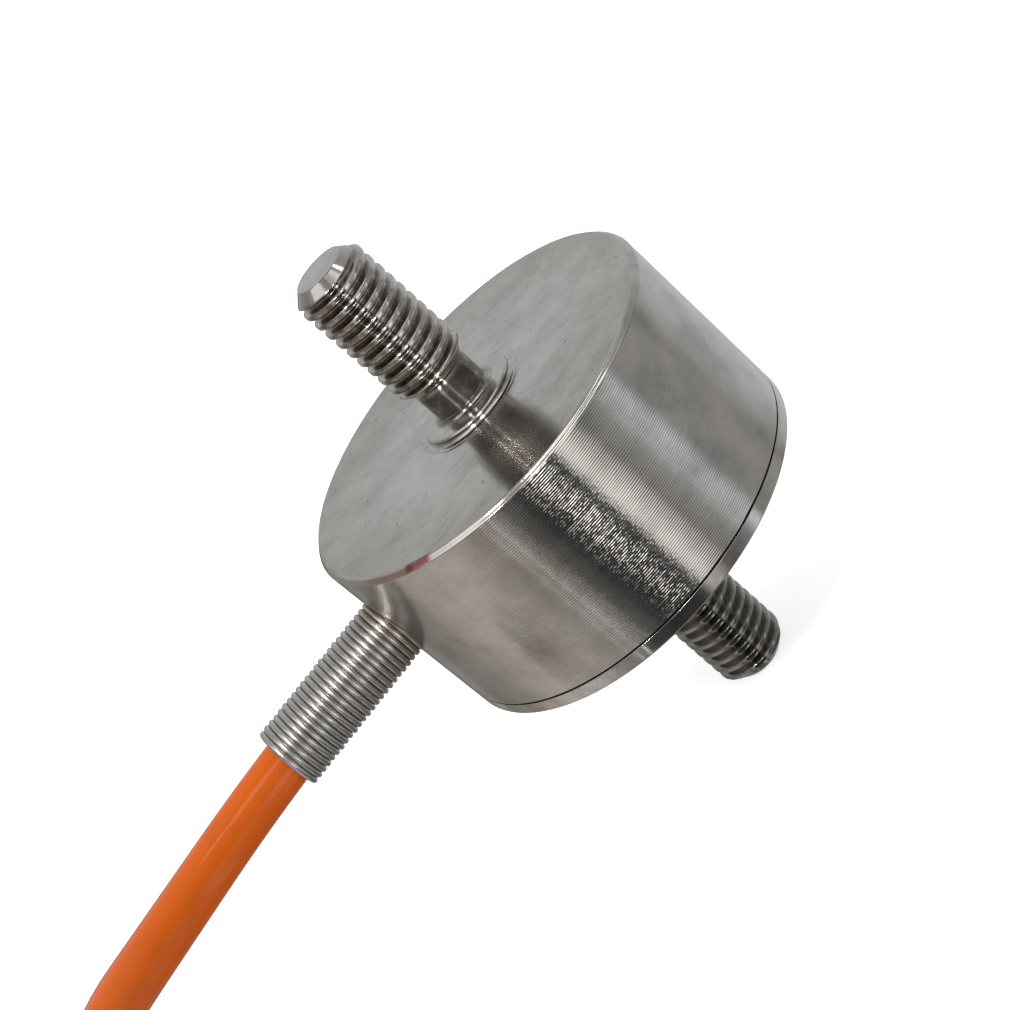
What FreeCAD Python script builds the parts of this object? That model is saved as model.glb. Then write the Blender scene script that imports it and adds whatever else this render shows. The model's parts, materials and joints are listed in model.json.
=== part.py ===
import FreeCAD, Part
import math
import os
import re
import Sketcher

# Miniature tension and compression load cell with a stud at each end.
# Origin: centre of the cover's underside, where the lower stud starts.
# +Z runs up the load axis towards the upper stud, and the cable leaves along -X.

# Driving dimensions in millimetres.
SIZES = {
    "case_diameter": 25.0,
    "case_height": 12.8,
    "wall_thickness": 2.0,
    "diaphragm_thickness": 0.8,
    "rim_chamfer": 0.25,
    "hub_diameter": 7.0,
    "hub_depth": 1.6,
    "inner_chamfer": 0.4,
    "cover_thickness": 0.95,
    "cover_chamfer": 0.15,
    "seam_gap": 0.12,
    "seam_depth": 0.4,
    "spigot_height": 1.6,
    "spigot_clearance": 0.05,
    "lead_in": 0.2,
    "ledge_width": 1.8,
    "thread_diameter": 4.88,
    "upper_stud_height": 11.6,
    "lower_stud_length": 12.4,
    "tip_chamfer": 0.8,
    "neck_diameter": 3.68,
    "neck_height": 2.7,
    "collar_diameter": 6.5,
    "collar_height": 0.42,
    "collar_chamfer": 0.12,
    "outlet_drop": 5.0,
    "outlet_run": 4.4,
    "inner_reach": 3.6,
    "outlet_clearance": 0.1,
    "cable_diameter": 3.0,
    "spring_diameter": 4.25,
    "spring_pitch": 0.415,
    "spring_turns": 25,
    "spring_wire": 0.4,
    "spring_seat_depth": 0.6,
    "spring_seat_clearance": 0.03,
    "washer_diameter": 4.2,
    "washer_thickness": 0.6,
    "washer_gap": 0.03,
    "crimp_diameter": 3.9,
    "crimp_length": 0.6,
    "gauge_length": 3.0,
    "gauge_width": 2.0,
    "gauge_thickness": 0.06,
    "gauge_margin": 0.3,
    "tab_inset": 0.35,
    "gauge_wire_width": 0.3,
    "gauge_wire_thickness": 0.1,
    "gauge_wire_spacing": 1.0,
    "board_clearance": 0.2,
    "board_bore": 8.0,
    "board_thickness": 0.8,
    "resistor_length": 2.0,
    "resistor_width": 1.25,
    "resistor_height": 0.55,
    "joint_height": 0.3,
    "joint_foot": 1.1,
    "core_diameter": 0.8,
    "core_offset": 0.5,
    "core_bend": 1.1,
    "coil_inner_radius": 12.0,
    "coil_outer_radius": 24.0,
    "coil_layers": 6,
    "tie_thickness": 0.3,
    "tie_width": 2.5,
    "tie_clearance": 0.15,
    "sleeve_diameter": 3.5,
    "sleeve_length": 8.0,
    "core_length": 20.0,
    "bare_length": 5.0,
    "bare_diameter": 0.5,
    "shield_diameter": 0.8,
}

# The cable's free route to the coil, chosen by hand. Its straight start follows the outlet.
CABLE_ROUTE = [
    (-25.0, -0.2, 7.7),
    (-32.7, -3.9, 8.7),
    (-38.4, -10.2, 11.0),
    (-42.4, -17.7, 10.5),
    (-45.5, -24.8, 6.7),
]
COIL_CENTRE = (-67.0, -12.0)
COIL_ENTRY_ANGLE = -50.0
COIL_STEP = 22.5
LAST_RUN_SHARE = 0.88
TIE_ANGLE = 150.0
TAIL_START_ANGLE = 62.5
TAIL_END_ANGLE = 7.5
TAIL_STEPS = 2
CORE_COLOURS = ("red", "black", "green", "white")
# Each loose core's sideways place 9 mm past the sleeve and at its end, outwards from the coil.
CORE_SPREAD = {"red": (4.2, 6.5), "black": (-3.0, -4.5), "green": (2.0, 3.1), "white": (-1.0, -1.4)}
# A new outline's points lie on a circle at this distance and of this radius until its sizes are set.
ROUGH_PLACE = 20.0
ROUGH_REACH = 5.0
RUN_SHARE = 0.45
MITRED = 1

document = FreeCAD.newDocument("load_cell")
sheet = document.addObject("Spreadsheet::Sheet", "Dims")
radii = []


def fill_sheet():
    """Write each driving dimension as a plain number with its own alias."""
    for row, (alias, value) in enumerate(SIZES.items(), start=1):
        sheet.set(f"A{row}", alias)
        sheet.set(f"B{row}", str(value))
        sheet.setAlias(f"B{row}", alias)
    document.recompute()


def cells(words):
    """Turn names of driving dimensions into references to the sheet."""
    return re.sub(r"\b[a-z_]{3,}\b(?!\()", lambda name: "Dims." + name.group(), words)


def origin_plane(body, role):
    """Return one of the body's own origin planes."""
    for feature in body.Origin.OriginFeatures:
        if feature.Role == role:
            return feature
    raise RuntimeError(f"{body.Label} has no {role}")


def outline(body, name, role, corners, lift="0"):
    """Sketch a closed outline through corners, given as pairs of expressions.

    role names the origin plane, and lift moves the sketch: along the plane's
    normal on XY_Plane, and upwards on XZ_Plane.
    """
    sketch = body.newObject("Sketcher::SketchObject", name)
    sketch.AttachmentSupport = [(origin_plane(body, role), "")]
    sketch.MapMode = "FlatFace"
    way = "z" if role == "XY_Plane" else "y"
    sketch.setExpression(f"AttachmentOffset.Base.{way}", cells(lift))
    count = len(corners)
    rough = []
    for index in range(count):
        angle = 2 * math.pi * index / count
        rough.append(FreeCAD.Vector(ROUGH_PLACE + ROUGH_REACH * math.cos(angle), ROUGH_REACH * math.sin(angle), 0))
    for index in range(count):
        sketch.addGeometry(Part.LineSegment(rough[index], rough[(index + 1) % count]), False)
    for index in range(count):
        sketch.addConstraint(Sketcher.Constraint("Coincident", index, 2, (index + 1) % count, 1))
    for index, (across, up) in enumerate(corners):
        for kind, expression, start in (("DistanceX", across, rough[index].x), ("DistanceY", up, rough[index].y)):
            number = sketch.addConstraint(Sketcher.Constraint(kind, -1, 1, index, 1, start))
            sketch.setExpression(f"Constraints[{number}]", cells(expression))
    return sketch


OUTLET_HEIGHT = "case_height - outlet_drop"


def new_body(label):
    """Start a body whose label is its node's name."""
    body = document.addObject("PartDesign::Body", label)
    body.Label = label
    return body


def turn_form(body, corners, axis="V_Axis", lift="0"):
    """Revolve a closed outline about the sketch's own axis."""
    sketch = outline(body, "profile", "XZ_Plane", corners, lift)
    form = body.newObject("PartDesign::Revolution", "turned_form")
    form.Profile = sketch
    form.ReferenceAxis = (sketch, [axis])
    form.Angle = 360
    document.recompute()
    return form


def bore_out(body, corners, lift, name="outlet_bore"):
    """Cut a stepped bore round a level line at height lift, and check that it cut something."""
    before = body.Shape.Volume
    sketch = outline(body, name + "_profile", "XZ_Plane", corners, lift)
    cut = body.newObject("PartDesign::Groove", name)
    cut.Profile = sketch
    cut.ReferenceAxis = (sketch, ["H_Axis"])
    cut.Angle = 360
    document.recompute()
    if body.Shape.Volume >= before:
        raise RuntimeError(f"{name} cuts nothing from {body.Label}")
    return cut


def ring_edges(shape, radius, height):
    """Name the circular edges about the load axis with this radius and height."""
    names = []
    for number, edge in enumerate(shape.Edges, start=1):
        curve = edge.Curve
        if not isinstance(curve, Part.Circle):
            continue
        on_axis = math.hypot(curve.Center.x, curve.Center.y) < 1e-6
        if on_axis and abs(curve.Radius - radius) < 1e-5 and abs(curve.Center.z - height) < 1e-5:
            names.append(f"Edge{number}")
    return names


def dress_rings(body, name, rings, size_cell):
    """Chamfer the circular edges listed as (radius, height)."""
    base = body.Tip
    edges = []
    for radius, height in rings:
        edges += ring_edges(base.Shape, radius, height)
    chamfer = body.newObject("PartDesign::Chamfer", name)
    chamfer.Base = (base, edges)
    chamfer.setExpression("Size", cells(size_cell))
    document.recompute()
    return chamfer


def slab(label, corners, lift, thickness, azimuth=0.0):
    """Pad a flat outline upwards from height lift, and turn the piece about the load axis."""
    body = new_body(label)
    sketch = outline(body, "plan", "XY_Plane", corners, lift)
    pad = body.newObject("PartDesign::Pad", "thickness")
    pad.Profile = sketch
    pad.setExpression("Length", cells(thickness))
    body.Placement = FreeCAD.Placement(
        FreeCAD.Vector(0, 0, 0), FreeCAD.Rotation(FreeCAD.Vector(0, 0, 1), azimuth)
    )
    document.recompute()
    return body


def route_wire(points):
    """Join straight runs with tangent arcs, each as large as its two runs allow."""
    corners = [FreeCAD.Vector(*point) for point in points]
    edges = []
    start = corners[0]
    for before, corner, after in zip(corners, corners[1:], corners[2:]):
        back = before - corner
        ahead = after - corner
        share = RUN_SHARE * min(back.Length, ahead.Length)
        turn = math.pi - back.getAngle(ahead)
        radius = share / math.tan(turn / 2)
        back.normalize()
        ahead.normalize()
        arc_start = corner + back * share
        arc_end = corner + ahead * share
        inward = back + ahead
        inward.normalize()
        middle = corner + inward * (radius / math.cos(turn / 2) - radius)
        edges.append(Part.LineSegment(start, arc_start).toShape())
        edges.append(Part.Arc(arc_start, middle, arc_end).toShape())
        radii.append(radius)
        start = arc_end
    edges.append(Part.LineSegment(start, corners[-1]).toShape())
    return Part.Wire(edges)


def tube(points, diameter, path=None):
    """Carry a round section along a route, and compare its volume with section times length."""
    path = path or route_wire(points)
    heading = FreeCAD.Vector(*points[1]) - FreeCAD.Vector(*points[0])
    section = Part.Wire(Part.makeCircle(diameter / 2, FreeCAD.Vector(*points[0]), heading))
    solid = path.makePipeShell([section], True, False, MITRED)
    expected = math.pi * diameter**2 / 4 * path.Length
    if abs(solid.Volume - expected) > 0.01 * expected:
        raise RuntimeError(f"a tube has volume {solid.Volume:.3f} where {expected:.3f} was expected")
    return solid


def thin_wire(points, diameter):
    """A thin wire bent in sharp corners, which are mitred."""
    return tube(points, diameter, Part.makePolygon([FreeCAD.Vector(*point) for point in points]))


def feature(label, shape, place=None):
    """Hold a ready shape in a document object of its own, at a place."""
    piece = document.addObject("Part::Feature", label)
    piece.Label = label
    piece.Shape = shape
    piece.Placement = place or FreeCAD.Placement()
    return piece


def make_elastic_body():
    """The measuring body: wall, diaphragm, hub, collar, neck and upper stud, turned in one piece."""
    body = new_body("elastic_body")
    top = "case_height + upper_stud_height"
    shoulder = "case_height + neck_height"
    underside = "case_height - diaphragm_thickness"
    seat = "cover_thickness + seam_gap"
    bore = "case_diameter / 2 - wall_thickness"
    corners = [
        ("0", top),
        ("thread_diameter / 2 - tip_chamfer", top),
        ("thread_diameter / 2", top + " - tip_chamfer"),
        ("thread_diameter / 2", shoulder + " + (thread_diameter - neck_diameter) / 2"),
        ("neck_diameter / 2", shoulder),
        ("neck_diameter / 2", "case_height + collar_height"),
        ("collar_diameter / 2", "case_height + collar_height"),
        ("collar_diameter / 2", "case_height"),
        ("case_diameter / 2 - rim_chamfer", "case_height"),
        ("case_diameter / 2", "case_height - rim_chamfer"),
        ("case_diameter / 2", seat),
        (bore + " + lead_in", seat),
        (bore, seat + " + lead_in"),
        (bore, underside),
        ("hub_diameter / 2", underside),
        ("hub_diameter / 2", underside + " - hub_depth"),
        ("0", underside + " - hub_depth"),
    ]
    turn_form(body, corners)
    size = SIZES
    top_face = size["case_height"]
    collar_top = top_face + size["collar_height"]
    collar_rings = [
        (size["neck_diameter"] / 2, collar_top),
        (size["collar_diameter"] / 2, collar_top),
        (size["collar_diameter"] / 2, top_face),
    ]
    dress_rings(body, "collar_chamfers", collar_rings, "collar_chamfer")
    underside_height = top_face - size["diaphragm_thickness"]
    inner_rings = [
        (size["hub_diameter"] / 2, underside_height),
        (size["case_diameter"] / 2 - size["wall_thickness"], underside_height),
    ]
    dress_rings(body, "diaphragm_chamfers", inner_rings, "inner_chamfer")
    cable_radius = "cable_diameter / 2 + outlet_clearance"
    spring_radius = "spring_diameter / 2 + spring_seat_clearance"
    step = "-(case_diameter / 2 - spring_seat_depth)"
    inside = "-(case_diameter / 2 - 2 * wall_thickness)"
    outside = "-(case_diameter / 2 + wall_thickness)"
    bore_corners = [
        (inside, "0"),
        (inside, cable_radius),
        (step, cable_radius),
        (step, spring_radius),
        (outside, spring_radius),
        (outside, "0"),
    ]
    bore_out(body, bore_corners, OUTLET_HEIGHT)
    return body


def make_base_cover():
    """The closing cover with its spigot, board ledge and lower stud, turned in one piece."""
    body = new_body("base_cover")
    seat = "cover_thickness + seam_gap"
    spigot = "case_diameter / 2 - wall_thickness - spigot_clearance"
    corners = [
        ("0", "-lower_stud_length"),
        ("thread_diameter / 2 - tip_chamfer", "-lower_stud_length"),
        ("thread_diameter / 2", "-lower_stud_length + tip_chamfer"),
        ("thread_diameter / 2", "0"),
        ("case_diameter / 2 - cover_chamfer", "0"),
        ("case_diameter / 2", "cover_chamfer"),
        ("case_diameter / 2", "cover_thickness"),
        ("case_diameter / 2 - seam_depth", "cover_thickness"),
        ("case_diameter / 2 - seam_depth", seat),
        (spigot, seat),
        (spigot, seat + " + spigot_height - lead_in"),
        (spigot + " - lead_in", seat + " + spigot_height"),
        (spigot + " - ledge_width", seat + " + spigot_height"),
        (spigot + " - ledge_width", seat),
        ("0", seat),
    ]
    turn_form(body, corners)
    return body


BOARD_FLOOR = "cover_thickness + seam_gap + spigot_height"
BOARD_TOP = BOARD_FLOOR + " + board_thickness"
DIAPHRAGM_UNDERSIDE = "case_height - diaphragm_thickness"


def inner_end():
    """Where the cable's jacket ends inside the case, along X."""
    return -(SIZES["case_diameter"] / 2 - SIZES["inner_reach"])


def outlet_height():
    """Height of the cable outlet's centre line."""
    return SIZES["case_height"] - SIZES["outlet_drop"]


def board_top():
    """Height of the board's upper face."""
    names = ("cover_thickness", "seam_gap", "spigot_height", "board_thickness")
    return sum(SIZES[name] for name in names)


def make_bridge_board():
    """The ring board that carries the bridge's resistors, glued to the cover's ledge."""
    body = new_body("bridge_board")
    edge = "case_diameter / 2 - wall_thickness - board_clearance"
    corners = [
        ("board_bore / 2", BOARD_FLOOR),
        (edge, BOARD_FLOOR),
        (edge, BOARD_TOP),
        ("board_bore / 2", BOARD_TOP),
    ]
    turn_form(body, corners)
    return body


def make_strain_gauges():
    """Four foil gauges under the diaphragm: two beside the rim and two beside the hub."""
    rim_middle = "case_diameter / 2 - wall_thickness - inner_chamfer - gauge_margin - gauge_length / 2"
    hub_middle = "hub_diameter / 2 + inner_chamfer + gauge_margin + gauge_length / 2"
    gauges = []
    places = ((45.0, rim_middle), (135.0, hub_middle), (225.0, rim_middle), (315.0, hub_middle))
    for number, (azimuth, middle) in enumerate(places, start=1):
        near = middle + " - gauge_length / 2"
        far = middle + " + gauge_length / 2"
        corners = [
            (near, "-gauge_width / 2"),
            (far, "-gauge_width / 2"),
            (far, "gauge_width / 2"),
            (near, "gauge_width / 2"),
        ]
        lift = DIAPHRAGM_UNDERSIDE + " - gauge_thickness"
        gauges.append(slab(f"strain_gauge_{number}", corners, lift, "gauge_thickness", azimuth))
        at_rim = middle == rim_middle
        tab = near + " + tab_inset" if at_rim else far + " - tab_inset"
        make_gauge_wires(number, azimuth, tab)
    return gauges


def make_gauge_wires(number, azimuth, tab):
    """Two fine ribbon wires that run from a gauge's tabs down to the board."""
    wires = []
    for side in (-1, 1):
        wire = document.addObject("Part::Box", f"gauge_wire_{number}_{'right' if side > 0 else 'left'}")
        wire.setExpression("Length", cells("gauge_wire_thickness"))
        wire.setExpression("Width", cells("gauge_wire_width"))
        wire.setExpression("Height", cells(f"{DIAPHRAGM_UNDERSIDE} - gauge_thickness - ({BOARD_TOP})"))
        wire.setExpression("Placement.Base.x", cells(f"{tab} - gauge_wire_thickness / 2"))
        wire.setExpression("Placement.Base.y", cells(f"{side} * gauge_wire_spacing / 2 - gauge_wire_width / 2"))
        wire.setExpression("Placement.Base.z", cells(BOARD_TOP))
        wires.append(wire)
    pair = document.addObject("Part::Compound", f"gauge_wires_{number}")
    pair.Label = f"gauge_wires_{number}"
    pair.Links = wires
    pair.Placement = FreeCAD.Placement(
        FreeCAD.Vector(0, 0, 0), FreeCAD.Rotation(FreeCAD.Vector(0, 0, 1), azimuth)
    )
    return pair


def make_resistors():
    """Three chip resistors on the board, for zero balance, span and temperature."""
    middle = "(case_diameter / 2 - wall_thickness + board_bore / 2) / 2"
    corners = [
        (middle + " - resistor_width / 2", "-resistor_length / 2"),
        (middle + " + resistor_width / 2", "-resistor_length / 2"),
        (middle + " + resistor_width / 2", "resistor_length / 2"),
        (middle + " - resistor_width / 2", "resistor_length / 2"),
    ]
    for label, azimuth in (("balance_resistor", 0.0), ("span_resistor", 90.0), ("temperature_resistor", 270.0)):
        slab(label, corners, BOARD_TOP, "resistor_height", azimuth)


def make_relief_spring():
    """The close-wound spring round the cable, pressed into its seat in the wall."""
    body = new_body("relief_spring")
    start = "-(case_diameter / 2 - spring_seat_depth)"
    end = start + " - spring_turns * spring_pitch"
    corners = [
        (start, "spring_diameter / 2 - spring_wire"),
        (start, "spring_diameter / 2"),
        (end, "spring_diameter / 2"),
        (end, "spring_diameter / 2 - spring_wire"),
    ]
    turn_form(body, corners, "H_Axis", OUTLET_HEIGHT)
    notch = [
        (f"{start} - spring_pitch * 1.5", "spring_diameter / 2"),
        (f"{start} - spring_pitch", "spring_diameter / 2 - spring_wire * 0.35"),
        (f"{start} - spring_pitch * 0.5", "spring_diameter / 2"),
    ]
    groove = bore_out(body, notch, OUTLET_HEIGHT, "turn_notch")
    pattern = body.newObject("PartDesign::LinearPattern", "turns")
    pattern.Originals = [groove]
    pattern.Direction = (groove.Profile[0], ["H_Axis"])
    pattern.Reversed = True
    pattern.setExpression("Length", cells("(spring_turns - 2) * spring_pitch"))
    pattern.setExpression("Occurrences", cells("spring_turns - 1"))
    body.Tip = pattern
    document.recompute()
    return body


def make_outlet_rings():
    """A seal washer against the bore wall, and behind it the crimp ring that holds the cable."""
    bore = "(case_diameter / 2 - wall_thickness)"
    face = f"-(sqrt({bore} * {bore} - washer_diameter * washer_diameter / 4) - washer_gap)"
    back = f"{face} + washer_thickness"
    washer = new_body("cable_washer")
    washer_corners = [
        (face, "cable_diameter / 2"),
        (face, "washer_diameter / 2"),
        (back, "washer_diameter / 2"),
        (back, "cable_diameter / 2"),
    ]
    turn_form(washer, washer_corners, "H_Axis", OUTLET_HEIGHT)
    crimp = new_body("crimp_ring")
    crimp_corners = [
        (back, "cable_diameter / 2"),
        (back, "crimp_diameter / 2"),
        (f"{back} + crimp_length", "crimp_diameter / 2"),
        (f"{back} + crimp_length", "cable_diameter / 2"),
    ]
    turn_form(crimp, crimp_corners, "H_Axis", OUTLET_HEIGHT)


def lead_places():
    """Each inner lead's place in the cable's end face, and how far from the axis it comes down."""
    offset = SIZES["core_offset"]
    near = inner_end() + SIZES["core_bend"] + SIZES["core_diameter"] / 2
    far = near + SIZES["core_diameter"] * 1.5
    return {
        "red": (offset, offset, far),
        "black": (-offset, offset, far),
        "green": (offset, -offset, near),
        "white": (-offset, -offset, near),
    }


def make_inner_leads():
    """The cable's four cores inside the case, bent down to their solder joints on the board."""
    joint_top = board_top() + SIZES["joint_height"]
    height = outlet_height()
    bend = SIZES["core_bend"]
    cones = []
    for colour, (side, rise, down_at) in lead_places().items():
        points = [
            (inner_end(), side, height + rise),
            (down_at - bend, side, height + rise),
            (down_at, side, height + rise - bend),
            (down_at, side, joint_top),
        ]
        feature(f"lead_{colour}", thin_wire(points, SIZES["core_diameter"]))
        foot = FreeCAD.Vector(down_at, side, board_top())
        cones.append(Part.makeCone(SIZES["joint_foot"] / 2, SIZES["core_diameter"] / 2, SIZES["joint_height"], foot))
    feature("solder_joints", Part.makeCompound(cones))


def floor_height():
    """Height of the surface that the cell stands on, at the lower stud's end."""
    return -SIZES["lower_stud_length"]


def coil_floor():
    """Height of the coil's underside, which rests on its tie."""
    return floor_height() + SIZES["tie_thickness"]


def coil_point(angle, radius, height):
    """A point at an angle in degrees and a radius about the coil's centre."""
    turn = math.radians(angle)
    return (COIL_CENTRE[0] + radius * math.cos(turn), COIL_CENTRE[1] + radius * math.sin(turn), height)


def coil_place(angle):
    """The placement of a piece drawn about the coil's centre, turned by an angle in degrees."""
    return FreeCAD.Placement(
        FreeCAD.Vector(COIL_CENTRE[0], COIL_CENTRE[1], 0), FreeCAD.Rotation(FreeCAD.Vector(0, 0, 1), angle)
    )


def control_radius(radius, step):
    """The radius of a control point for a smooth turn of this radius, with a point each step of degrees."""
    return radius / math.cos(math.radians(step / 2))


def make_cable():
    """The cable from its inner end to the coil, the coil's outer shape, and the tail beside it."""
    diameter = SIZES["cable_diameter"]
    outer = SIZES["coil_outer_radius"]
    height = coil_floor() + diameter * (SIZES["coil_layers"] - 0.5)
    entry = FreeCAD.Vector(*coil_point(COIL_ENTRY_ANGLE, control_radius(outer, COIL_STEP), height))
    onward = FreeCAD.Vector(*coil_point(COIL_ENTRY_ANGLE - COIL_STEP, control_radius(outer, COIL_STEP), height))
    last = entry + (onward - entry) * LAST_RUN_SHARE
    straight_end = -(SIZES["case_diameter"] / 2 + SIZES["outlet_run"])
    start = [(inner_end(), 0.0, outlet_height()), (straight_end, 0.0, outlet_height())]
    feature("cable_run", tube(start + CABLE_ROUTE + [tuple(entry), tuple(last)], diameter))
    make_cable_coil()
    points = tail_points()
    feature("cable_tail", tube(points, diameter))
    make_cable_end(points)


def tail_points():
    """The tail's route: out of the lowest turn, then beside the coil on the floor."""
    diameter = SIZES["cable_diameter"]
    outer = SIZES["coil_outer_radius"]
    beside = outer + diameter + SIZES["tie_clearance"]
    first_height = coil_floor() + diameter / 2
    last_height = floor_height() + diameter / 2
    sweep = TAIL_END_ANGLE - TAIL_START_ANGLE
    points = []
    for step in range(TAIL_STEPS + 1):
        share = step / TAIL_STEPS
        radius = control_radius(outer + (beside - outer) * min(1.0, 2 * share), sweep / TAIL_STEPS)
        height = first_height + (last_height - first_height) * min(1.0, 2 * share)
        points.append(coil_point(TAIL_START_ANGLE + sweep * share, radius, height))
    return points


def make_cable_coil():
    """The closed outer shape of all the coil's turns."""
    half = SIZES["cable_diameter"] / 2
    inner = SIZES["coil_inner_radius"] - half
    outer = SIZES["coil_outer_radius"] + half
    bottom = coil_floor()
    top = bottom + SIZES["coil_layers"] * SIZES["cable_diameter"]
    foot = FreeCAD.Vector(0, 0, bottom)
    ring = Part.makeCylinder(outer, top - bottom, foot).cut(Part.makeCylinder(inner, top - bottom, foot))
    feature("cable_coil", ring, coil_place(0.0))
    make_coil_tie(inner, outer, bottom, top)


def make_coil_tie(inner, outer, bottom, top):
    """A flat tie round the coil's section, on the side away from the tail."""
    gap = SIZES["tie_clearance"]
    strap = SIZES["tie_thickness"]
    width = SIZES["tie_width"]
    hole = Part.makeBox(
        outer - inner + 2 * gap, width, top - bottom + gap, FreeCAD.Vector(inner - gap, -width / 2, bottom)
    )
    block = Part.makeBox(
        outer - inner + 2 * (gap + strap),
        width,
        top - bottom + gap + 2 * strap,
        FreeCAD.Vector(inner - gap - strap, -width / 2, bottom - strap),
    )
    feature("coil_tie", block.cut(hole), coil_place(TIE_ANGLE))


def make_cable_end(points):
    """A shrink sleeve on the tail's end, four loose cores with tinned ends, and the shield's tail."""
    end = FreeCAD.Vector(*points[-1])
    heading = end - FreeCAD.Vector(*points[-2])
    heading.z = 0
    heading.normalize()
    outward = FreeCAD.Vector(-heading.y, heading.x, 0)
    up = FreeCAD.Vector(0, 0, 1)
    lift = SIZES["sleeve_diameter"] / 2 - SIZES["cable_diameter"] / 2
    last_run = end - FreeCAD.Vector(*points[-2])
    sleeve = Part.makeCylinder(SIZES["sleeve_diameter"] / 2, SIZES["sleeve_length"], end + up * lift, heading)
    feature("end_sleeve", sleeve)
    mouth = end + up * lift + heading * SIZES["sleeve_length"]
    core = SIZES["core_diameter"]
    low = floor_height() + core / 2 - mouth.z
    offset = SIZES["core_offset"]
    tips = []
    for colour, (side, rise, _) in lead_places().items():
        near, far = CORE_SPREAD[colour]
        stops = ((0.0, side, rise), (3.0, side, rise), (9.0, near, low), (SIZES["core_length"], far, low))
        path = [mouth + heading * along + outward * across + up * rises for along, across, rises in stops]
        feature(f"core_{colour}", thin_wire([tuple(point) for point in path], core))
        last = path[-1] - path[-2]
        last.normalize()
        tips.append(Part.makeCylinder(SIZES["bare_diameter"] / 2, SIZES["bare_length"], path[-1], last))
    feature("core_tips", Part.makeCompound(tips))
    make_shield_tail(mouth, heading, outward, up)


def make_shield_tail(mouth, heading, outward, up):
    """The shield's strands, twisted to one bare tail between the cores."""
    diameter = SIZES["shield_diameter"]
    low = floor_height() + diameter / 2 - mouth.z
    stops = ((0.0, 0.0, -1.25), (2.0, 0.0, -1.25), (6.0, 0.3, low), (12.0, 0.6, low), (17.0, 0.3, low))
    path = [mouth + heading * along + outward * across + up * rises for along, across, rises in stops]
    feature("shield_tail", thin_wire([tuple(point) for point in path], diameter))


def node_objects():
    """The document's objects that are sub-parts of the product."""
    held = set()
    for item in document.Objects:
        if item.TypeId == "Part::Compound":
            held.update(link.Name for link in item.Links)
    kinds = ("PartDesign::Body", "Part::Compound", "Part::Feature")
    return [item for item in document.Objects if item.TypeId in kinds and item.Name not in held]


def check_and_write():
    """Stop on any failed object or bad shape, then write one STEP file for each sub-part."""
    for item in document.Objects:
        if "Invalid" in item.State or "Error" in item.State:
            raise RuntimeError(f"{item.Label} failed to build")
    nodes = node_objects()
    for node in nodes:
        if node.Shape.isNull() or not node.Shape.isValid() or not node.Shape.Solids:
            raise RuntimeError(f"{node.Label} has a bad shape")
    os.makedirs("parts", exist_ok=True)
    for node in nodes:
        node.Shape.exportStep(f"parts/{node.Label}.step")
    print(f"{len(nodes)} nodes")
    print("arc radii of the cable:", " ".join(f"{radius:.1f}" for radius in radii))


fill_sheet()
make_elastic_body()
make_base_cover()
make_bridge_board()
make_strain_gauges()
make_resistors()
make_relief_spring()
make_outlet_rings()
make_inner_leads()
make_cable()
document.recompute()
check_and_write()
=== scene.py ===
import json
import math
from functools import partial

import bmesh
import bpy
import numpy as np
from bpy.props import FloatProperty, FloatVectorProperty, IntProperty, PointerProperty
from mathutils import Matrix, Vector


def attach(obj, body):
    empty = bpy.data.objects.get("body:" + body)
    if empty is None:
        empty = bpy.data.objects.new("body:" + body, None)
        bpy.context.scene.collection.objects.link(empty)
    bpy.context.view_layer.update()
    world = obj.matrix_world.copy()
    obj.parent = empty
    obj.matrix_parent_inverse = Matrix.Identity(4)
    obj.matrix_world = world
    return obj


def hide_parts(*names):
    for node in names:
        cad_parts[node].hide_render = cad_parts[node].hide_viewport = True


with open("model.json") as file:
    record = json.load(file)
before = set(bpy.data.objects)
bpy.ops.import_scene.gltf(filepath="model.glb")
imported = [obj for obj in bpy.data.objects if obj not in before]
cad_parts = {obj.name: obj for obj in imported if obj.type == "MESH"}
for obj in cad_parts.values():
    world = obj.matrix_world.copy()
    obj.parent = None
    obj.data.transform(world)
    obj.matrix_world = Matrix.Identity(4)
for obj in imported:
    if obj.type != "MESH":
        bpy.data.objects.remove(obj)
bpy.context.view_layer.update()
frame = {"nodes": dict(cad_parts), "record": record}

bl_info = {
    "name": "Miniature load cell",
    "version": (1, 0, 0),
    "blender": (4, 5, 0),
    "location": "View3D > Sidebar > Load cell",
    "description": "Dresses a miniature load cell: turned case, threads, relief spring and cable",
    "category": "Object",
}

# The cell stands on its lower stud. Z is the load axis, and the cable leaves along -X.
# Sizes are in millimetres up to the point where a mesh is made.
MM = 0.001
SLOTS = {part["node"]: part["material_slot"] for part in frame["record"]["subparts"]}


# Colours and shader nodes ------------------------------------------------------------------


def linear(hex_code):
    """An sRGB hex code as the linear colour that shaders take."""
    channels = [int(hex_code[start : start + 2], 16) / 255 for start in (1, 3, 5)]
    return tuple(c / 12.92 if c <= 0.04045 else ((c + 0.055) / 1.055) ** 2.4 for c in channels) + (1.0,)


def opaque(colour):
    """The colour of a setting as shaders take it."""
    return tuple(colour) + (1.0,)


def add_node(tree, kind, inputs=None, output=0, **settings):
    """Add a node with its settings and inputs, each a value or a socket to link, and give an output."""
    node = tree.nodes.new("ShaderNode" + kind)
    for name, value in settings.items():
        setattr(node, name, value)
    for name, value in (inputs or {}).items():
        if isinstance(value, bpy.types.NodeSocket):
            tree.links.new(value, node.inputs[name])
        else:
            node.inputs[name].default_value = value
    return node.outputs[output] if node.outputs else None


def new_material(name):
    """An empty material, and add_node bound to its tree."""
    material = bpy.data.materials.new(name)
    material.use_nodes = True
    material.node_tree.nodes.clear()
    return material, partial(add_node, material.node_tree)


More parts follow.
